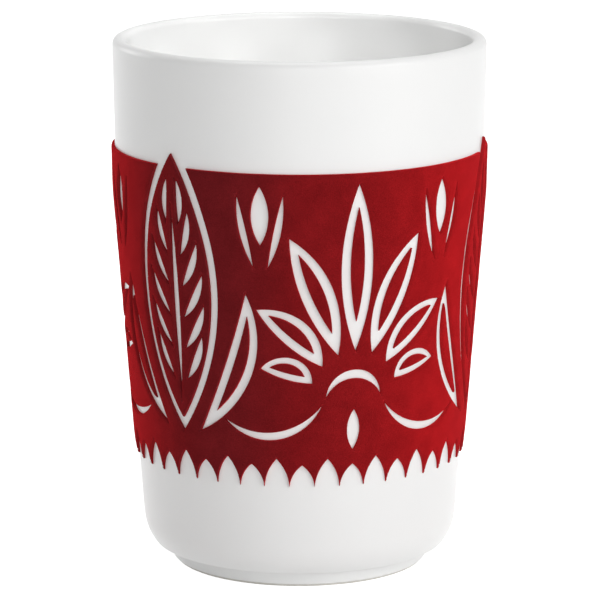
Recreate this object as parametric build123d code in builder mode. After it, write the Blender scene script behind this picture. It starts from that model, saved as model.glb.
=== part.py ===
from build123d import *
import os
from math import atan2, cos, pi, radians, sin

# Handleless porcelain cup with a frieze of flock round its wall.
# Millimetres, +Z up, origin at the middle of the ring that the cup stands on.

# Outside of the cup, from the rim down
cup_height = 120.0
rim_radius = 42.05
upper_flare = 0.55
bend_below_rim = 34.0
bend_rounding = 100.0
lower_flare = 5.85
heel_height = 10.4
heel_undercut = 2.45
heel_edge_rounding = 0.4
ledge_width = 3.7
foot_height = 4.3
foot_taper = 0.4
foot_edge = 0.7
land_width = 1.8
recess_slope = 1.2
recess_depth = 2.6

# Wall and inside of the cup
rim_wall = 3.2
lip_flat = 0.2
bend_wall = 3.4
base_wall = 4.2
floor_thickness = 4.6
bowl_rounding = 16.0

# Glaze: a coat all over the cup, apart from the edges and the flat of the foot
glaze_thickness = 0.2

# Flock: short fibres set in a film of adhesive on the glaze, which shows through the cut-outs
adhesive_film = 0.06
flock_height = 0.85
band_below_rim = 24.2
fringe_low = 24.6
leaf_rise = 2.8

# Frieze: palmettes alternate with leaves, turns are in degrees round the cup
repeats = 3
first_palmette_turn = -72.0

# Palmette: petals fan out from a heart, each with a vein of flock
heart_rise = 21.4
heart_ring = 10.0
palmette_margin = 2.3
petal_tip_turns = (0.0, 22.0, 32.0, 30.0)
petal_rise_shares = (1.0, 0.75, 0.41, 0.13)
petal_half_widths = (3.7, 3.5, 3.1, 2.5)
petal_bends = (0.0, 0.9, 1.6, 1.8)
vein_start = 0.18
vein_end = 0.86
vein_share = 0.42
calyx_half_span = 6.4
calyx_drop = 0.5
calyx_bend = 5.3
calyx_half_width = 1.0
drop_top = 3.2
drop_length = 9.3
drop_half_width = 1.5

# Leaf: a blade of flock in a white outline, with a midrib and paired veins
leaf_base_rise = 14.4
leaf_half_width = 9.4
outline_width = 1.8
outline_foot = 3.0
outline_tip = 4.0
midrib_foot = 4.0
midrib_tip = 11.0
midrib_half_width = 0.9
leaf_vein_pairs = 6
leaf_vein_first = 9.0
leaf_vein_pitch = 7.0
leaf_vein_rise = 10.5
leaf_vein_gap = 0.8
leaf_vein_margin = 1.7
leaf_vein_half_width = 1.0
leaf_vein_bend = -0.8

# Sepals: a curved white blade on each side of the leaf, with a vein of flock
sepal_foot_turn = 7.0
sepal_foot_drop = 2.2
sepal_tip_turn = 25.5
sepal_rise = 30.0
sepal_half_width = 3.0
sepal_bend = -3.9

# Between the columns: a garland below, and above it a bead with two darts
garland_near_turn = -18.8
garland_far_turn = 13.3
garland_near_rise = 19.4
garland_far_rise = 16.0
garland_bend = -5.5
garland_half_width = 0.9
bead_top = 2.8
bead_length = 13.0
bead_half_width = 2.0
dart_foot_turn = 2.3
dart_tip_turn = 7.4
dart_top = 4.8
dart_length = 16.0
dart_half_width = 0.8
dart_bend = -0.5

# Fringe along the lower edge: pointed notches, in turn shallow and deep
notches = 42
shallow_notch = 5.6
deep_notch = 7.0
notch_overlap = 0.02

# Values worked out from the sizes above
bend_height = cup_height - bend_below_rim
bend_radius = rim_radius - upper_flare
wall_foot_radius = bend_radius - lower_flare
heel_radius = wall_foot_radius - heel_undercut
foot_radius = heel_radius - ledge_width
foot_base_radius = foot_radius - foot_taper
land_outer_radius = foot_base_radius - foot_edge
land_inner_radius = land_outer_radius - land_width
recess_rim_radius = land_inner_radius - foot_edge
recess_radius = recess_rim_radius - recess_slope
lip_rounding = (rim_wall - lip_flat) / 2
floor_height = recess_depth + floor_thickness
floor_radius = wall_foot_radius - base_wall
band_top = cup_height - band_below_rim
leaf_tip = band_top + leaf_rise
leaf_base = fringe_low + leaf_base_rise
heart_height = fringe_low + heart_rise
palmette_top = band_top - palmette_margin
band_middle = (fringe_low + band_top) / 2
wall_slope = lower_flare / (bend_height - heel_height)
frieze_radius = bend_radius - wall_slope * (bend_height - band_middle) + flock_height
fringe_radius = bend_radius - wall_slope * (bend_height - fringe_low) + flock_height
notch_half_width = pi * fringe_radius / notches + notch_overlap
notch_turn = 360 / notches
cut_reach = rim_radius + 2 * flock_height
repeat_turn = 360 / repeats


def wall_points():
    """The corners of the outer wall, from the heel to the rim."""
    return (
        (wall_foot_radius, heel_height),
        (bend_radius, bend_height),
        (rim_radius, cup_height),
    )


def frieze_planes(turn):
    """Upright planes through the axis, one for each repeat, facing out at a turn from its palmette."""
    planes = []
    for repeat in range(repeats):
        angle = radians(first_palmette_turn + turn + repeat * repeat_turn)
        across = (-sin(angle), cos(angle), 0)
        outward = (cos(angle), sin(angle), 0)
        planes.append(Plane(origin=(0, 0, 0), x_dir=across, z_dir=outward))
    return planes


def spot(turn, height):
    """The place on a frieze plane that meets the wall at a turn and a height."""
    return (frieze_radius * sin(radians(turn)), height)


class Blade(BaseSketchObject):
    """A mark that tapers to both ends, along all or a stretch of a centre line that bows to its left."""

    def __init__(self, base, tip, half_width, bend=0.0, start=0.0, end=1.0, mode=Mode.ADD):
        chord = Vector(*tip) - Vector(*base)
        left = Vector(-chord.Y, chord.X).normalized()

        def along(share):
            return Vector(*base) + chord * share + left * (4 * bend * share * (1 - share))

        bow = bend * (end - start) ** 2
        with BuildSketch() as mark:
            with BuildLine():
                SagittaArc(along(start), along(end), bow + half_width)
                SagittaArc(along(start), along(end), bow - half_width)
            make_face()
        super().__init__(mark.sketch, rotation=0, align=None, mode=mode)


def petal_lines():
    """Base, tip, half width and bend of the middle petal and of those on its right."""
    lines = []
    petals = zip(petal_tip_turns, petal_rise_shares, petal_half_widths, petal_bends)
    for turn, share, half_width, bend in petals:
        x, z = spot(turn, heart_height + share * (palmette_top - heart_height))
        direction = atan2(x, z - heart_height)
        base = (heart_ring * sin(direction), heart_height + heart_ring * cos(direction))
        lines.append((base, (x, z), half_width, bend))
    return lines


def sepal_line():
    """Base, tip, half width and bend of the sepal on the right of a leaf."""
    base = spot(sepal_foot_turn, leaf_base - sepal_foot_drop)
    tip = spot(sepal_tip_turn, leaf_base + sepal_rise)
    return (base, tip, sepal_half_width, sepal_bend)


def leaf_vein_lines():
    """Base, tip, half width and bend of the veins on the right of a leaf."""
    lines = []
    for pair in range(leaf_vein_pairs):
        foot = leaf_base + leaf_vein_first + pair * leaf_vein_pitch
        tip = foot + leaf_vein_rise
        share = (tip - leaf_base) / (leaf_tip - leaf_base)
        reach = 4 * leaf_half_width * share * (1 - share) - leaf_vein_margin
        start = (midrib_half_width + leaf_vein_gap, foot)
        lines.append((start, (reach, tip), leaf_vein_half_width, leaf_vein_bend))
    return lines


# The line that the glaze follows, from the foot over the lip to the middle of the floor
with BuildLine() as glazed_line:
    heel_corner = (heel_radius, foot_height)
    foot_side = Polyline((foot_base_radius, foot_edge), (foot_radius, foot_height), heel_corner)
    wall = FilletPolyline(
        *wall_points(),
        (rim_radius - rim_wall, cup_height),
        (bend_radius - bend_wall, bend_height),
        (floor_radius, floor_height),
        (0, floor_height),
        radius=(bend_rounding, lip_rounding, lip_rounding, bend_rounding, bowl_rounding),
    )
    heel = TangentArc(wall @ 0, foot_side @ 1, tangent=(wall % 0) * -1)
    fillet(glazed_line.vertices().sort_by_distance(heel_corner)[0], radius=heel_edge_rounding)

# The line of the glazed underside, inside the foot ring
with BuildLine() as recess_line:
    recess = Polyline((0, recess_depth), (recess_radius, recess_depth), (recess_rim_radius, foot_edge))

# Glaze coat: the skin of glaze outside and inside the cup
with BuildPart() as glaze_coat:
    with BuildSketch(Plane.XZ) as glaze_section:
        with BuildLine():
            add(glazed_line.line)
            offset(amount=glaze_thickness, kind=Kind.INTERSECTION, side=Side.RIGHT)
        make_face()
    revolve(axis=Axis.Z)

# Recess glaze: the skin of glaze under the cup
with BuildPart() as recess_glaze:
    with BuildSketch(Plane.XZ) as recess_section:
        with BuildLine():
            add(recess_line.line)
            offset(amount=glaze_thickness, kind=Kind.INTERSECTION, side=Side.LEFT)
        make_face()
    revolve(axis=Axis.Z)

# Porcelain body: the cup under its glaze, bare on the ring that it stands on
with BuildPart() as porcelain_body:
    with BuildSketch(Plane.XZ) as body_section:
        with BuildLine():
            add(glazed_line.line)
            add(recess_line.line)
            Line(wall @ 1, recess @ 0)
            Polyline(recess @ 1, (land_inner_radius, 0), (land_outer_radius, 0), foot_side @ 0)
        make_face()
        add(glaze_section.sketch_local, mode=Mode.SUBTRACT)
        add(recess_section.sketch_local, mode=Mode.SUBTRACT)
    revolve(axis=Axis.Z)

# Flock band: a plain layer of flock outside the film, from which the flocked pieces are cut
with BuildPart() as flock_band:
    with BuildSketch(Plane.XZ) as band_section:
        for proud, mode in ((flock_height, Mode.ADD), (adhesive_film, Mode.SUBTRACT)):
            with BuildLine():
                FilletPolyline(*wall_points(), radius=bend_rounding)
                offset(amount=proud, side=Side.RIGHT)
            make_face(mode=mode)
        with Locations((rim_radius, (fringe_low + leaf_tip) / 2)):
            Rectangle(rim_radius, leaf_tip - fringe_low, mode=Mode.INTERSECT)
    revolve(axis=Axis.Z)

# Flock ground: the connected field of flock, with the white marks cut out of it
with BuildPart() as flock_ground:
    add(flock_band.part)
    split(bisect_by=Plane.XY.offset(band_top), keep=Keep.BOTTOM)
    with BuildSketch(*frieze_planes(0)) as palmette_marks:
        for line in petal_lines()[1:]:
            Blade(*line)
        mirror(about=Plane.YZ)
        Blade(*petal_lines()[0])
        calyx_height = heart_height - calyx_drop
        calyx_end = (calyx_half_span, calyx_height)
        Blade((-calyx_half_span, calyx_height), calyx_end, calyx_half_width, calyx_bend)
        drop_height = heart_height - drop_top
        Blade((0, drop_height), (0, drop_height - drop_length), drop_half_width)
    extrude(amount=cut_reach, mode=Mode.SUBTRACT)
    with BuildSketch(*frieze_planes(repeat_turn / 2)) as leaf_marks:
        Blade(*sepal_line())
        mirror(about=Plane.YZ)
        outline_half_width = leaf_half_width + outline_width
        Blade((0, leaf_base - outline_foot), (0, leaf_tip + outline_tip), outline_half_width)
    extrude(amount=cut_reach, mode=Mode.SUBTRACT)
    for side in (1, -1):
        with BuildSketch(*frieze_planes(side * repeat_turn / 4)) as between_marks:
            near = spot(side * garland_near_turn, fringe_low + garland_near_rise)
            far = spot(side * garland_far_turn, fringe_low + garland_far_rise)
            Blade(near, far, garland_half_width, side * garland_bend)
            for dart_side in (1, -1):
                dart_foot = spot(dart_side * dart_foot_turn, band_top - dart_top - dart_length)
                dart_tip = spot(dart_side * dart_tip_turn, band_top - dart_top)
                Blade(dart_foot, dart_tip, dart_half_width, dart_side * dart_bend)
            bead_height = band_top - bead_top
            Blade((0, bead_height), (0, bead_height - bead_length), bead_half_width)
        extrude(amount=cut_reach, mode=Mode.SUBTRACT)
    for first, depth in ((0, shallow_notch), (1, deep_notch)):
        turns = [notch_turn * index for index in range(first, notches // repeats, 2)]
        planes = [plane for turn in turns for plane in frieze_planes(turn)]
        with BuildSketch(*planes) as notch_marks:
            Blade((0, fringe_low - depth), (0, fringe_low + depth), notch_half_width)
        extrude(amount=cut_reach, mode=Mode.SUBTRACT)

# Flock leaf blades: patches that stand alone in the white outlines of the leaves
with BuildPart() as flock_leaf_blades:
    add(flock_band.part)
    with BuildSketch(*frieze_planes(repeat_turn / 2)) as blade_shapes:
        Blade((0, leaf_base), (0, leaf_tip), leaf_half_width)
    extrude(amount=cut_reach, mode=Mode.INTERSECT)
    with BuildSketch(*frieze_planes(repeat_turn / 2)) as blade_marks:
        for line in leaf_vein_lines():
            Blade(*line)
        mirror(about=Plane.YZ)
        Blade((0, leaf_base + midrib_foot), (0, leaf_tip - midrib_tip), midrib_half_width)
    extrude(amount=cut_reach, mode=Mode.SUBTRACT)

# Flock petal veins: patches that stand alone in the white petals
with BuildPart() as flock_petal_veins:
    add(flock_band.part)
    with BuildSketch(*frieze_planes(0)) as petal_vein_shapes:
        veins = [
            (base, tip, half_width * vein_share, bend, vein_start, vein_end)
            for base, tip, half_width, bend in petal_lines()
        ]
        for vein in veins[1:]:
            Blade(*vein)
        mirror(about=Plane.YZ)
        Blade(*veins[0])
    extrude(amount=cut_reach, mode=Mode.INTERSECT)

# Flock sepal veins: patches that stand alone in the white sepals
with BuildPart() as flock_sepal_veins:
    add(flock_band.part)
    with BuildSketch(*frieze_planes(repeat_turn / 2)) as sepal_vein_shapes:
        base, tip, half_width, bend = sepal_line()
        Blade(base, tip, half_width * vein_share, bend, vein_start, vein_end)
        mirror(about=Plane.YZ)
    extrude(amount=cut_reach, mode=Mode.INTERSECT)

# Write one file for each piece
pieces = {
    "porcelain_body": porcelain_body,
    "glaze_coat": glaze_coat,
    "recess_glaze": recess_glaze,
    "flock_ground": flock_ground,
    "flock_leaf_blades": flock_leaf_blades,
    "flock_petal_veins": flock_petal_veins,
    "flock_sepal_veins": flock_sepal_veins,
}
os.makedirs("parts", exist_ok=True)
for name, piece in pieces.items():
    piece.part.label = name
    export_step(piece.part, f"parts/{name}.step")
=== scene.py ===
"""Looks of a handleless porcelain cup with a flocked frieze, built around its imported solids.

Metres and degrees, +Z up, with the origin at the middle of the ring that the cup stands on.
"""

import math

import bpy
import numpy as np
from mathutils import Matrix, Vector, noise
from mathutils.bvhtree import BVHTree
from mathutils.geometry import delaunay_2d_cdt
from mathutils.kdtree import KDTree


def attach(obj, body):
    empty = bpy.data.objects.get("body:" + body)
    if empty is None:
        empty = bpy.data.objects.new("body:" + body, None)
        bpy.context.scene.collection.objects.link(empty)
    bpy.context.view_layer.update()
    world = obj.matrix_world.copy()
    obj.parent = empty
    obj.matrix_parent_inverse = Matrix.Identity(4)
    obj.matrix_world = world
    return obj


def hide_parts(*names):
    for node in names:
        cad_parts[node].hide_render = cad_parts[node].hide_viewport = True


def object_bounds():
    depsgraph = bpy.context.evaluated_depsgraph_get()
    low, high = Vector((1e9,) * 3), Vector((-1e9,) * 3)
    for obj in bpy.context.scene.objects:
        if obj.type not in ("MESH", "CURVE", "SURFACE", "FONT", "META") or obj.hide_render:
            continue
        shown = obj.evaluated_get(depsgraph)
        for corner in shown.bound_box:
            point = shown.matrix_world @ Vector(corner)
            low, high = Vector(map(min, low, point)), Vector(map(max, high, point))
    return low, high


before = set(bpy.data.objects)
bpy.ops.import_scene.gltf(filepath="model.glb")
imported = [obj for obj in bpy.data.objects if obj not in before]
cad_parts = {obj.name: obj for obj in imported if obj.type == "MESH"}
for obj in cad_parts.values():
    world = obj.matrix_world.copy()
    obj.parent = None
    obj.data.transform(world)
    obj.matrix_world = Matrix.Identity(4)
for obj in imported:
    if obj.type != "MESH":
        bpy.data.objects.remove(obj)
cad_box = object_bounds()

GLAZE_NODES = ("glaze_coat", "recess_glaze")
FLOCK_NODES = ("flock_ground", "flock_leaf_blades", "flock_petal_veins", "flock_sepal_veins")

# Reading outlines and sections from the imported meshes
TRIANGLE_SIDES = ((0, 1), (1, 2), (2, 0))
WELD_SIZE = 1e-6
SEAM_WIDTH = 1e-6
SKIN_FACING = 0.85
CORNER_TURN = 25.0

# Turned glaze: steps round the axis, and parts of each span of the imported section
TURNED_STEPS = 264
SPAN_PARTS = 2

# Spacing of the points on the pile, its outline and its back
PILE_PITCH = 0.00048
OUTLINE_STEP = 0.0003
BACK_PITCH = 0.003
PILE_SEED = 7
GRID_JITTER = 0.18
EDGE_CLEARANCE = 0.55

# Rounded shoulders of the pile
SHOULDER_ROWS = (0.0001, 0.00024)
SHOULDER_CLEARANCE = 0.9
SHOULDER_WIDTH = 0.00055
SHOULDER_LOW = 0.6

# Relief of the pile, and how far its roots reach into the glaze
NAP_DEPTH = 0.00007
NAP_SCALE = 260.0
TUFT_DEPTH = 0.00005
TUFT_SCALE = 1500.0
ROOT_DEPTH = 0.00005

# Filling the outlines of the pile with triangles, laid flat round a ring
RING_SCALE = 100.0
RING_EPSILON = 1e-6
INSIDE_TRIANGLES = 1

# Noise in the materials: its usual detail, and the values that low and high tones stand at
NOISE_DETAIL = 2.0
NOISE_LOW = 0.3
NOISE_HIGH = 0.7

# Colour sockets of the mix node
MIX_FIRST = 6
MIX_SECOND = 7
MIX_RESULT = 2

# White glaze
GLAZE_TONES = ((0.866, 0.868, 0.862, 1), (0.874, 0.874, 0.866, 1))
GLAZE_TONE_SCALE = 45.0
GLAZE_ROUGHNESS = (0.285, 0.31)
GLAZE_ROUGHNESS_SCALE = 60.0
GLAZE_WAVE_DEPTH = 0.000003
GLAZE_WAVE_SCALE = 90.0
GLAZE_FINISH = {"IOR": 1.5}

# Bare porcelain
BARE_TONES = ((0.70, 0.68, 0.64, 1), (0.78, 0.76, 0.72, 1))
BARE_TONE_SCALE = 900.0
BARE_ROUGHNESS = (0.65, 0.85)
BARE_ROUGHNESS_SCALE = 500.0
GRAIN_DEPTH = 0.00003
GRAIN_SCALE = 6000.0
GRAIN_DETAIL = 4.0

# Red flock, with painted sheen: base colours from dark where one looks into the leaning pile to light
# where the sides of the fibres face the view
WITHOUT_HEIGHT = (1, 1, 0)
FIBRE_LEAN = 33.0
PAINTED_SHEEN_COLOURS = (
    (0.0, (0.155, 0.0132, 0.0165, 1)),
    (0.17, (0.27, 0.0116, 0.0145, 1)),
    (0.95, (0.44, 0.0112, 0.014, 1)),
)
PILE_TONES = ((0.88, 0.88, 0.88, 1), (1.12, 1.12, 1.12, 1))
# Cut edges and walls of the pile: lighter, pinker tones, a painted sheen of the fibre sides.
CUT_PAINTED_SHEEN_TONES = ((1.05, 1.3, 1.3, 1), (1.25, 1.5, 1.5, 1))
NAP_TONE_SCALE = 190.0
FIBRE_TONES = ((0.7, 0.7, 0.7, 1), (1.2, 1.2, 1.2, 1))
FIBRE_SCALE = 5200.0
FIBRE_DEPTH = 0.00012
FLOCK_DETAIL = 3.0
FLOCK_FINISH = {
    "Roughness": 0.9,
    "Diffuse Roughness": 1.0,
    "Specular IOR Level": 0.0,
    "Sheen Weight": 1.0,
    "Sheen Roughness": 0.42,
    "Sheen Tint": (1, 0.035, 0.045, 1),
}

# Surroundings and floor
WHITE = (1, 1, 1, 1)
WORLD_LIGHT = 0.24
FLOOR_SIZE = 6.0
FLOOR_COLOUR = (0.92, 0.92, 0.92, 1)
FLOOR_SHADE = (0.8, 0.8, 0.8, 1)
FLOOR_WHITE = 0.83

# Large soft lamps: name, turn to the right of the camera, lift above level, size and power
SOFTBOX_DISTANCE = 1.5
SOFTBOXES = (
    ("key_right", 50, 18, 1.3, 12.7),
    ("front_low", 0, 8, 0.8, 5.0),
    ("fill_left", -125, 15, 0.8, 4.4),
    ("top_back", 180, 72, 1.0, 8.0),
)

# Spot lamps into the mouth: turn to the right of the camera, and power
MOUTH_SPOTS = ((72, 12.5), (40, 11.2), (8, 11.4), (-24, 10.6), (-56, 7.0))
SPOT_REACH = 0.018
SPOT_SIZE = 0.004
SPOT_LIFT = 26
SPOT_DISTANCE = 0.9
SPOT_AIM_RADIUS = 0.039
SPOT_AIM_HEIGHT = 0.1075

# Camera of the photograph, with lens and sensor in millimetres
CAMERA_DISTANCE = 0.8463
CAMERA_HEIGHT = 0.2398
CAMERA_TILT = 77.965
CAMERA_LENS = 228.06
CAMERA_SHIFT = 0.0007
CAMERA_SENSOR = 36.0


def welded_mesh(node):
    """The points and triangles of a node, with the points that share a place made one."""
    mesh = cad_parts[node].data
    mesh.calc_loop_triangles()
    points = np.empty(len(mesh.vertices) * 3, np.float32)
    mesh.vertices.foreach_get("co", points)
    triangles = np.empty(len(mesh.loop_triangles) * 3, np.int32)
    mesh.loop_triangles.foreach_get("vertices", triangles)
    points = points.reshape(-1, 3).astype(float)
    cells = np.round(points / WELD_SIZE).astype(int)
    _, first, place = np.unique(cells, axis=0, return_index=True, return_inverse=True)
    triangles = place.reshape(-1)[triangles].reshape(-1, 3)
    whole = (triangles != np.roll(triangles, 1, axis=1)).all(axis=1)
    return points[first], triangles[whole]


def outer_skin(points, triangles):
    """The triangles that face away from the axis."""
    corners = points[triangles]
    normals = np.cross(corners[:, 1] - corners[:, 0], corners[:, 2] - corners[:, 0])
    normals /= np.linalg.norm(normals, axis=1, keepdims=True)
    outward = corners.mean(axis=1)[:, :2]
    outward /= np.linalg.norm(outward, axis=1, keepdims=True)
    return triangles[(normals[:, :2] * outward).sum(axis=1) > SKIN_FACING]


def outline_loops(skin):
    """The closed rows of points round a skin, with the skin on their left."""
    edges = dict.fromkeys((int(t[a]), int(t[b])) for t in skin for a, b in TRIANGLE_SIDES)
    following = {a: b for a, b in edges if (b, a) not in edges}
    loops = []
    while following:
        start, point = following.popitem()
        loop = [start]
        while point != start:
            loop.append(point)
            point = following.pop(point)
        loops.append(loop)
    return loops


def places_along(points):
    """How far along a row of points each of them lies."""
    lengths = np.linalg.norm(np.diff(points, axis=0), axis=1)
    return np.concatenate(([0.0], np.cumsum(lengths)))


def even_places(points, step):
    """Places about a step apart along a row of points, all but the last one."""
    length = places_along(points)[-1]
    return np.linspace(0.0, length, max(1, round(length / step)) + 1)[:-1]


def span_places(points, parts):
    """Places that cut each span of a row of points into equal parts, all but the last one."""
    along = places_along(points)
    shares = np.arange(parts) / parts
    return (along[:-1, None] + np.diff(along)[:, None] * shares).reshape(-1)


def smooth_run(points, wanted):
    """The points at the places wanted, on a smooth line through the points given."""
    along = places_along(points)
    lengths = np.diff(along)
    slopes = np.gradient(points, along, axis=0, edge_order=min(2, len(lengths)))
    span = np.clip(np.searchsorted(along, wanted, "right") - 1, 0, len(lengths) - 1)
    length = lengths[span][:, None]
    t = (wanted - along[span])[:, None] / length
    start = points[span] * (1 + 2 * t) + slopes[span] * t * length
    end = points[span + 1] * (3 - 2 * t) - slopes[span + 1] * (1 - t) * length
    return start * (1 - t) ** 2 + end * t**2


def corner_places(points, closed):
    """The places of the sharp corners in a row of points, and of the ends of an open row."""
    before = points - np.roll(points, 1, axis=0)
    after = np.roll(points, -1, axis=0) - points
    cosine = (before * after).sum(axis=1)
    cosine /= np.linalg.norm(before, axis=1) * np.linalg.norm(after, axis=1)
    sharp = cosine < math.cos(math.radians(CORNER_TURN))
    if not closed:
        sharp[[0, -1]] = True
    return np.flatnonzero(sharp)


def smooth_loop(points, step):
    """A closed row of points, redrawn as smooth runs between its corners."""
    corners = corner_places(points, closed=True)
    turned = np.roll(points, -corners[0], axis=0)
    turned = np.vstack([turned, turned[:1]])
    stops = np.append(corners - corners[0], len(points))
    runs = [turned[a : b + 1] for a, b in zip(stops, stops[1:])]
    return np.vstack([smooth_run(run, even_places(run, step)) for run in runs])


def smooth_row(points, parts):
    """An open row of points, redrawn as smooth runs between its corners, with its spans in parts."""
    stops = corner_places(points, closed=False)
    runs = [points[a : b + 1] for a, b in zip(stops, stops[1:])]
    return np.vstack([*(smooth_run(run, span_places(run, parts)) for run in runs), points[-1:]])


def section_row(node):
    """The section of a turned node as an open row of (radius, height), read along its seam."""
    points, triangles = welded_mesh(node)
    on_seam = (np.abs(points[:, 1]) < SEAM_WIDTH) & (points[:, 0] > 0)
    neighbours = {}
    for a, b in np.vstack([triangles[:, list(side)] for side in TRIANGLE_SIDES]):
        if on_seam[a] and on_seam[b]:
            neighbours.setdefault(int(a), set()).add(int(b))
            neighbours.setdefault(int(b), set()).add(int(a))
    ends = [p for p, near in neighbours.items() if len(near) == 1]
    row = [max(ends, key=lambda p: points[p, 2])]
    while True:
        onward = neighbours[row[-1]] - set(row[-2:])
        if not onward:
            break
        row.append(onward.pop())
    return points[row][:, [0, 2]]


def new_piece(name, points, faces, node, materials, choices=None):
    """Makes a mesh piece that stands for a node, with a choice of material for each face."""
    mesh = bpy.data.meshes.new(name)
    mesh.from_pydata(points.tolist(), [], faces)
    mesh.polygons.foreach_set("use_smooth", np.ones(len(mesh.polygons), bool))
    mesh.set_sharp_from_angle(angle=math.radians(CORNER_TURN))
    for material in materials:
        mesh.materials.append(material)
    if choices is not None:
        mesh.polygons.foreach_set("material_index", choices)
    mesh.validate()
    piece = bpy.data.objects.new(name, mesh)
    bpy.context.scene.collection.objects.link(piece)
    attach(piece, "root")
    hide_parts(node)


def turned_glaze(node, material):
    """Makes the skin of glaze, turned finely from the section of its node."""
    section = smooth_row(section_row(node), SPAN_PARTS)
    turns = np.arange(TURNED_STEPS) * 2 * math.pi / TURNED_STEPS
    rows = len(section)
    radius, height = section[:, :1], section[:, 1:]
    points = np.stack(
        [radius * np.cos(turns), radius * np.sin(turns), height + 0 * turns], axis=-1
    ).reshape(-1, 3)
    poles = [(0, 0, section[0, 1]), (0, 0, section[-1, 1])]
    first_pole = len(points)
    last_row = (rows - 1) * TURNED_STEPS
    faces = []
    for step in range(TURNED_STEPS):
        following = (step + 1) % TURNED_STEPS
        for row in range(rows - 1):
            a, b = row * TURNED_STEPS, (row + 1) * TURNED_STEPS
            faces.append((a + step, b + step, b + following, a + following))
        faces.append((first_pole, step, following))
        faces.append((first_pole + 1, last_row + following, last_row + step))
    new_piece("turned_" + node, np.vstack([points, poles]), faces, node, [material])


def radius_by_height(points):
    """Heights in rising order, and the radius of the outer skin at each."""
    order = np.argsort(points[:, 2])
    return points[order, 2], np.hypot(points[order, 0], points[order, 1])


def wall_profile():
    """Heights in rising order, and the radius of the glazed outside of the cup at each."""
    row = section_row("glaze_coat")
    top = row[:, 1].argmax()
    foot = top + row[top:, 1].argmin()
    wall = row[top : foot + 1][::-1]
    return wall[:, 1], wall[:, 0]


def left_faces(faces, lines, barriers):
    """The faces on the left of directed lines, and those next to them up to the barriers."""
    owner = {
        (face[a], face[b]): place
        for place, face in enumerate(faces)
        for a, b in TRIANGLE_SIDES
    }
    waiting = [owner[line] for line in lines if line in owner]
    found = set(waiting)
    while waiting:
        face = faces[waiting.pop()]
        for a, b in TRIANGLE_SIDES:
            beyond = owner.get((face[b], face[a]))
            if beyond is None or beyond in found or frozenset((face[a], face[b])) in barriers:
                continue
            found.add(beyond)
            waiting.append(beyond)
    return [faces[place] for place in sorted(found)]


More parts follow.
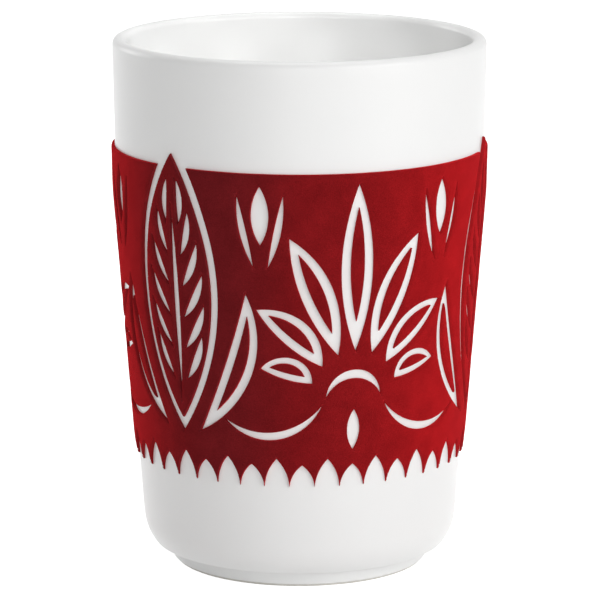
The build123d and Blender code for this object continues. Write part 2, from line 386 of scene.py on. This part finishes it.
class Pile:
    """A piece of flock: a field of pile with rounded shoulders, walls down to the glaze, and a back."""

    def __init__(self, node, root_profile):
        points, triangles = welded_mesh(node)
        skin = outer_skin(points, triangles)
        self.node = node
        self.tree = BVHTree.FromPolygons(points.tolist(), skin.tolist())
        self.top_profile = radius_by_height(points[np.unique(skin)])
        self.root_profile = root_profile
        self.reach = self.top_profile[1].max()
        self.ring_radius = self.top_profile[1].mean()
        self.low, self.high = self.top_profile[0][[0, -1]]
        self.random = np.random.default_rng(PILE_SEED)
        loops = [smooth_loop(points[loop], OUTLINE_STEP) for loop in outline_loops(skin)]
        self.outline = np.vstack([self.unrolled(loop) for loop in loops])
        self.edges = []
        for loop in loops:
            first = len(self.edges)
            count = len(loop)
            self.edges += [(first + i, first + (i + 1) % count) for i in range(count)]
        self.near_outline = KDTree(len(self.outline))
        for place, point in enumerate(self.placed(self.outline, self.top_profile)):
            self.near_outline.insert(point, place)
        self.near_outline.balance()

    def unrolled(self, points):
        """The spot of (turn, height) at each point."""
        return np.c_[np.arctan2(points[:, 1], points[:, 0]), points[:, 2]]

    def placed(self, spots, profile, lift=0.0):
        """The points at spots of (turn, height), on a profile of radii and lifted off it."""
        radius = np.interp(spots[:, 1], *profile) + lift
        return np.c_[radius * np.cos(spots[:, 0]), radius * np.sin(spots[:, 0]), spots[:, 1]]

    def outline_distance(self, spots):
        """How far each spot lies from the outline."""
        return np.array([self.near_outline.find(p)[2] for p in self.placed(spots, self.top_profile)])

    def on_skin(self, spots):
        """Whether each spot lies on the skin of the node."""
        found = []
        for turn, height in spots:
            outward = Vector((math.cos(turn), math.sin(turn), 0.0))
            start = outward * 2 * self.reach + Vector((0.0, 0.0, height))
            found.append(self.tree.ray_cast(start, -outward, 2 * self.reach)[0] is not None)
        return np.array(found, bool)

    def grid(self, pitch):
        """Spots on the skin in staggered rows, clear of the outline."""
        rows = np.arange(self.low, self.high, pitch * math.sqrt(3) / 2)
        count = round(2 * math.pi * self.ring_radius / pitch)
        turns = np.arange(count) * 2 * math.pi / count - math.pi
        stagger = (np.arange(len(rows)) % 2) * math.pi / count
        spots = np.stack(np.broadcast_arrays(turns + stagger[:, None], rows[:, None]), axis=-1)
        spots = spots.reshape(-1, 2)
        shake = self.random.uniform(-GRID_JITTER, GRID_JITTER, spots.shape) * pitch
        spots = spots + shake / (self.ring_radius, 1.0)
        spots = spots[self.on_skin(spots)]
        return spots[self.outline_distance(spots) > EDGE_CLEARANCE * pitch]

    def shoulders(self):
        """Spots a short way in from the outline, for the rounded shoulders, fewer further in."""
        start = np.array([edge[0] for edge in self.edges])
        end = np.array([edge[1] for edge in self.edges])
        run = self.outline[end] - self.outline[start]
        run[:, 0] = (run[:, 0] + math.pi) % (2 * math.pi) - math.pi
        run *= (self.ring_radius, 1.0)
        inward = np.c_[-run[:, 1], run[:, 0]] / np.linalg.norm(run, axis=1, keepdims=True)
        middle = self.outline[start] + run / 2 / (self.ring_radius, 1.0)
        rows = []
        for row, depth in enumerate(SHOULDER_ROWS):
            spots = middle + inward * depth / (self.ring_radius, 1.0)
            spots = spots[row :: row + 1]
            rows.append(spots[self.outline_distance(spots) > SHOULDER_CLEARANCE * depth])
        return np.vstack(rows)

    def ring(self, spots):
        """Spots laid out flat round a ring, which keeps angles true and has no seam."""
        radius = RING_SCALE * np.exp((self.low - spots[:, 1]) / self.ring_radius)
        return np.c_[radius * np.cos(spots[:, 0]), radius * np.sin(spots[:, 0])]

    def triangles(self, inner_spots):
        """Spots and triangles that fill the outline, and the place of each outline spot in them."""
        flat = np.vstack([self.ring(self.outline), self.ring(inner_spots)])
        corners = [Vector(p) for p in flat]
        places, edges, faces, old_places, old_edges, _ = delaunay_2d_cdt(
            corners, self.edges, [], INSIDE_TRIANGLES, RING_EPSILON
        )
        found = np.array([tuple(p) for p in places])
        height = self.low - self.ring_radius * np.log(np.hypot(*found.T) / RING_SCALE)
        spots = np.c_[np.arctan2(found[:, 1], found[:, 0]), height]
        place = {old: new for new, olds in enumerate(old_places) for old in olds}
        rim = [place[i] for i in range(len(self.outline))]
        barriers = {frozenset(edge) for edge, old in zip(edges, old_edges) if old}
        lines = [(rim[a], rim[b]) for a, b in self.edges]
        return spots, left_faces(faces, lines, barriers), rim

    def relief(self, spots):
        """The lift of the pile off the skin of its node, zero or less: shoulders, nap and tufts."""
        depth = np.clip(self.outline_distance(spots) / SHOULDER_WIDTH, 0.0, 1.0)
        top = np.interp(spots[:, 1], *self.top_profile)
        thickness = top - np.interp(spots[:, 1], *self.root_profile)
        full = SHOULDER_LOW + (1 - SHOULDER_LOW) * np.sqrt(1 - (1 - depth) ** 2)
        waves = np.array(
            [
                (noise.noise(Vector(p) * NAP_SCALE), noise.noise(Vector(p) * TUFT_SCALE))
                for p in self.placed(spots, self.top_profile)
            ]
        )
        nap = (waves - 1) / 2 @ (NAP_DEPTH, TUFT_DEPTH)
        return thickness * (full - 1) + nap

    def build(self, pile_material, edge_sheen_material):
        """Makes the finished piece, with the cut material, which carries a lighter painted sheen, at
        its edges and on its walls.
        """
        spots, field, rim = self.triangles(np.vstack([self.grid(PILE_PITCH), self.shoulders()]))
        top = self.placed(spots, self.top_profile, self.relief(spots))
        back_spots, back, back_rim = self.triangles(self.grid(BACK_PITCH))
        back_points = self.placed(back_spots, self.root_profile, -ROOT_DEPTH)
        first_back = len(top)
        faces = field + [tuple(first_back + i for i in reversed(face)) for face in back]
        for a, b in self.edges:
            faces.append((rim[b], rim[a], first_back + back_rim[a], first_back + back_rim[b]))
        on_rim = set(rim)
        cut = [bool(on_rim.intersection(face)) for face in field]
        cut += [False] * len(back) + [True] * len(self.edges)
        choices = np.array(cut, np.int32)
        materials = [pile_material, edge_sheen_material]
        points = np.vstack([top, back_points])
        new_piece("pile_" + self.node, points, faces, self.node, materials, choices)


class Nodes:
    """A material's node tree, with short calls to add and join nodes."""

    def __init__(self, name):
        self.material = bpy.data.materials.new(name)
        self.material.use_nodes = True
        self.tree = self.material.node_tree
        self.shader = self.tree.nodes["Principled BSDF"]
        self.place = self.add("ShaderNodeTexCoord").outputs["Object"]

    def add(self, kind, **values):
        """A new node with the values given."""
        node = self.tree.nodes.new(kind)
        for name, value in values.items():
            setattr(node, name, value)
        return node

    def join(self, start, end):
        """Links one socket to another."""
        self.tree.links.new(start, end)

    def noise(self, scale, detail=NOISE_DETAIL):
        """Noise that stays in its place on the cup."""
        node = self.add("ShaderNodeTexNoise")
        node.inputs["Scale"].default_value = scale
        node.inputs["Detail"].default_value = detail
        self.join(self.place, node.inputs["Vector"])
        return node.outputs["Fac"]

    def ramp(self, value, stops):
        """A colour that follows a value through stops of (value, colour)."""
        node = self.add("ShaderNodeValToRGB")
        steps = node.color_ramp.elements
        while len(steps) < len(stops):
            steps.new(1.0)
        for step, (place, colour) in zip(steps, stops):
            step.position = place
            step.color = colour
        self.join(value, node.inputs["Fac"])
        return node.outputs["Color"]

    def tones(self, value, low, high):
        """A colour between two that follows noise."""
        return self.ramp(value, ((NOISE_LOW, low), (NOISE_HIGH, high)))

    def spread(self, value, low, high):
        """A number between two that follows noise."""
        node = self.add("ShaderNodeMapRange")
        node.inputs["From Min"].default_value = NOISE_LOW
        node.inputs["From Max"].default_value = NOISE_HIGH
        node.inputs["To Min"].default_value = low
        node.inputs["To Max"].default_value = high
        self.join(value, node.inputs["Value"])
        return node.outputs["Result"]

    def bump(self, height, depth):
        """A normal that follows a fine relief."""
        node = self.add("ShaderNodeBump")
        node.inputs["Distance"].default_value = depth
        self.join(height, node.inputs["Height"])
        return node.outputs["Normal"]

    def product(self, first, second):
        """One colour times another."""
        node = self.add("ShaderNodeMix", data_type="RGBA", blend_type="MULTIPLY")
        node.inputs["Factor"].default_value = 1.0
        self.join(first, node.inputs[MIX_FIRST])
        self.join(second, node.inputs[MIX_SECOND])
        return node.outputs[MIX_RESULT]

    def painted_sheen_facing(self, lean):
        """Layer Weight facing about fibres that stand out from the axis and lean round it, 0 to 1: a
        value that follows the view, for painted sheen in the base colour.
        """
        outward = self.add("ShaderNodeVectorMath", operation="MULTIPLY")
        outward.inputs[1].default_value = WITHOUT_HEIGHT
        self.join(self.place, outward.inputs[0])
        leaning = self.add("ShaderNodeVectorRotate", rotation_type="Z_AXIS")
        leaning.inputs["Angle"].default_value = math.radians(lean)
        self.join(outward.outputs["Vector"], leaning.inputs["Vector"])
        fibre = self.add("ShaderNodeVectorMath", operation="NORMALIZE")
        self.join(leaning.outputs["Vector"], fibre.inputs[0])
        painted_sheen = self.add("ShaderNodeLayerWeight")
        self.join(fibre.outputs["Vector"], painted_sheen.inputs["Normal"])
        return painted_sheen.outputs["Facing"]

    def set(self, values):
        """Sets constant values of the shader by the names of its sockets."""
        for name, value in values.items():
            self.shader.inputs[name].default_value = value

    def wire(self, name, value):
        """Links a value to a socket of the shader."""
        self.join(value, self.shader.inputs[name])


def glaze_material():
    """White glaze: glossy, a little uneven as fired glaze is, with a faint change of tone."""
    nodes = Nodes("white_glaze")
    nodes.wire("Base Color", nodes.tones(nodes.noise(GLAZE_TONE_SCALE), *GLAZE_TONES))
    nodes.wire("Roughness", nodes.spread(nodes.noise(GLAZE_ROUGHNESS_SCALE), *GLAZE_ROUGHNESS))
    nodes.wire("Normal", nodes.bump(nodes.noise(GLAZE_WAVE_SCALE), GLAZE_WAVE_DEPTH))
    nodes.set(GLAZE_FINISH)
    return nodes.material


def bare_porcelain_material():
    """Unglazed porcelain: matt, warm white and finely grained."""
    nodes = Nodes("bare_porcelain")
    nodes.wire("Base Color", nodes.tones(nodes.noise(BARE_TONE_SCALE), *BARE_TONES))
    nodes.wire("Roughness", nodes.spread(nodes.noise(BARE_ROUGHNESS_SCALE), *BARE_ROUGHNESS))
    nodes.wire("Normal", nodes.bump(nodes.noise(GRAIN_SCALE, GRAIN_DETAIL), GRAIN_DEPTH))
    return nodes.material


def flock_material(name, nap_tones):
    """Dark red flock: matt fibres that lean to one side, with painted sheen in the base colour, dark
    where one looks into the pile and light where their sides show, and with nap whose tone varies at
    random."""
    nodes = Nodes(name)
    # Painted sheen: the base colour follows how the leaned fibres face the view, not the lamps.
    painted_sheen = nodes.ramp(nodes.painted_sheen_facing(FIBRE_LEAN), PAINTED_SHEEN_COLOURS)
    nap = nodes.tones(nodes.noise(NAP_TONE_SCALE, FLOCK_DETAIL), *nap_tones)
    fibres = nodes.noise(FIBRE_SCALE, FLOCK_DETAIL)
    colour = nodes.product(nodes.product(painted_sheen, nap), nodes.tones(fibres, *FIBRE_TONES))
    nodes.wire("Base Color", colour)
    nodes.wire("Normal", nodes.bump(fibres, FIBRE_DEPTH))
    nodes.set(FLOCK_FINISH)
    return nodes.material


def seen_ray(tree):
    """A value that is 1 for rays from the camera, a reflection or a clear surface."""
    path = tree.nodes.new("ShaderNodeLightPath")
    value = path.outputs["Is Camera Ray"]
    for name in ("Is Glossy Ray", "Is Transmission Ray"):
        larger = tree.nodes.new("ShaderNodeMath")
        larger.operation = "MAXIMUM"
        tree.links.new(value, larger.inputs[0])
        tree.links.new(path.outputs[name], larger.inputs[1])
        value = larger.outputs["Value"]
    return value


def show(tree, lighting, seen, output):
    """Joins one shader to an output for the rays that carry light, and another where it is seen."""
    mix = tree.nodes.new("ShaderNodeMixShader")
    tree.links.new(seen_ray(tree), mix.inputs[0])
    tree.links.new(lighting.outputs[0], mix.inputs[1])
    tree.links.new(seen.outputs[0], mix.inputs[2])
    tree.links.new(mix.outputs[0], tree.nodes[output].inputs["Surface"])


def white_world():
    """White surroundings that light the cup softly, and that are plain white where they are seen."""
    world = bpy.data.worlds.new("white_studio")
    world.use_nodes = True
    tree = world.node_tree
    light = tree.nodes["Background"]
    light.inputs["Color"].default_value = WHITE
    light.inputs["Strength"].default_value = WORLD_LIGHT
    white = tree.nodes.new("ShaderNodeBackground")
    white.inputs["Color"].default_value = WHITE
    white.inputs["Strength"].default_value = 1.0
    show(tree, light, white, "World Output")
    bpy.context.scene.world = world


def pale_floor():
    """A plain white floor that keeps a soft shadow of the cup."""
    material = bpy.data.materials.new("white_floor")
    material.use_nodes = True
    tree = material.node_tree
    tree.nodes.remove(tree.nodes["Principled BSDF"])
    plain = tree.nodes.new("ShaderNodeBsdfDiffuse")
    plain.inputs["Color"].default_value = FLOOR_COLOUR
    shade = tree.nodes.new("ShaderNodeBsdfDiffuse")
    shade.inputs["Color"].default_value = FLOOR_SHADE
    white = tree.nodes.new("ShaderNodeEmission")
    white.inputs["Strength"].default_value = FLOOR_WHITE
    seen = tree.nodes.new("ShaderNodeAddShader")
    tree.links.new(shade.outputs[0], seen.inputs[0])
    tree.links.new(white.outputs[0], seen.inputs[1])
    show(tree, plain, seen, "Material Output")
    half = FLOOR_SIZE / 2
    corners = [(-half, -half, 0), (half, -half, 0), (half, half, 0), (-half, half, 0)]
    mesh = bpy.data.meshes.new("floor")
    mesh.from_pydata(corners, [], [(0, 1, 2, 3)])
    mesh.materials.append(material)
    floor = bpy.data.objects.new("floor", mesh)
    bpy.context.scene.collection.objects.link(floor)


def aimed_lamp(lamp, aim, turn, lift, distance):
    """Stands a lamp a turn to the right of the camera and a lift above level, aimed at a point."""
    angle, rise = math.radians(turn), math.radians(lift)
    level = math.cos(rise)
    outward = Vector((math.sin(angle) * level, -math.cos(angle) * level, math.sin(rise)))
    stand = bpy.data.objects.new(lamp.name, lamp)
    stand.location = aim + outward * distance
    stand.rotation_mode = "QUATERNION"
    stand.rotation_quaternion = outward.to_track_quat("Z", "Y")
    bpy.context.scene.collection.objects.link(stand)


def softbox(name, turn, lift, size, power):
    """A large soft lamp aimed at the middle of the cup."""
    lamp = bpy.data.lights.new(name, "AREA")
    lamp.size = size
    lamp.energy = power
    aimed_lamp(lamp, (cad_box[0] + cad_box[1]) / 2, turn, lift, SOFTBOX_DISTANCE)


def mouth_spot(turn, power):
    """A narrow soft spot lamp over the near lip, onto the far wall inside, to lift the shade there."""
    lamp = bpy.data.lights.new("mouth_spot", "SPOT")
    lamp.energy = power
    lamp.spot_size = 2 * math.atan(SPOT_REACH / SPOT_DISTANCE)
    lamp.spot_blend = 1.0
    lamp.shadow_soft_size = SPOT_SIZE
    angle = math.radians(turn)
    far_wall = Vector((-math.sin(angle), math.cos(angle), 0.0)) * SPOT_AIM_RADIUS
    aimed_lamp(lamp, far_wall + Vector((0.0, 0.0, SPOT_AIM_HEIGHT)), turn, SPOT_LIFT, SPOT_DISTANCE)


def photo_camera():
    """The camera that the photograph was taken with, worked out from the ellipses of rim and foot."""
    lens = bpy.data.cameras.new("camera")
    lens.sensor_width = CAMERA_SENSOR
    lens.lens = CAMERA_LENS
    lens.shift_x = CAMERA_SHIFT
    camera = bpy.data.objects.new("camera", lens)
    camera.location = (0, -CAMERA_DISTANCE, CAMERA_HEIGHT)
    camera.rotation_euler = (math.radians(CAMERA_TILT), 0, 0)
    bpy.context.scene.collection.objects.link(camera)
    bpy.context.scene.camera = camera


glaze = glaze_material()
flock = flock_material("red_flock", PILE_TONES)
# The cut edges and walls get lighter tones: painted sheen of the fibre sides.
flock_edge_sheen = flock_material("red_flock_edge_sheen", CUT_PAINTED_SHEEN_TONES)
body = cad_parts["porcelain_body"]
body.data.materials.clear()
body.data.materials.append(bare_porcelain_material())
for node in GLAZE_NODES:
    turned_glaze(node, glaze)
for node in FLOCK_NODES:
    Pile(node, wall_profile()).build(flock, flock_edge_sheen)

white_world()
pale_floor()
for name, turn, lift, size, power in SOFTBOXES:
    softbox(name, turn, lift, size, power)
for turn, power in MOUTH_SPOTS:
    mouth_spot(turn, power)
photo_camera()

bpy.context.scene.view_settings.view_transform = "Standard"
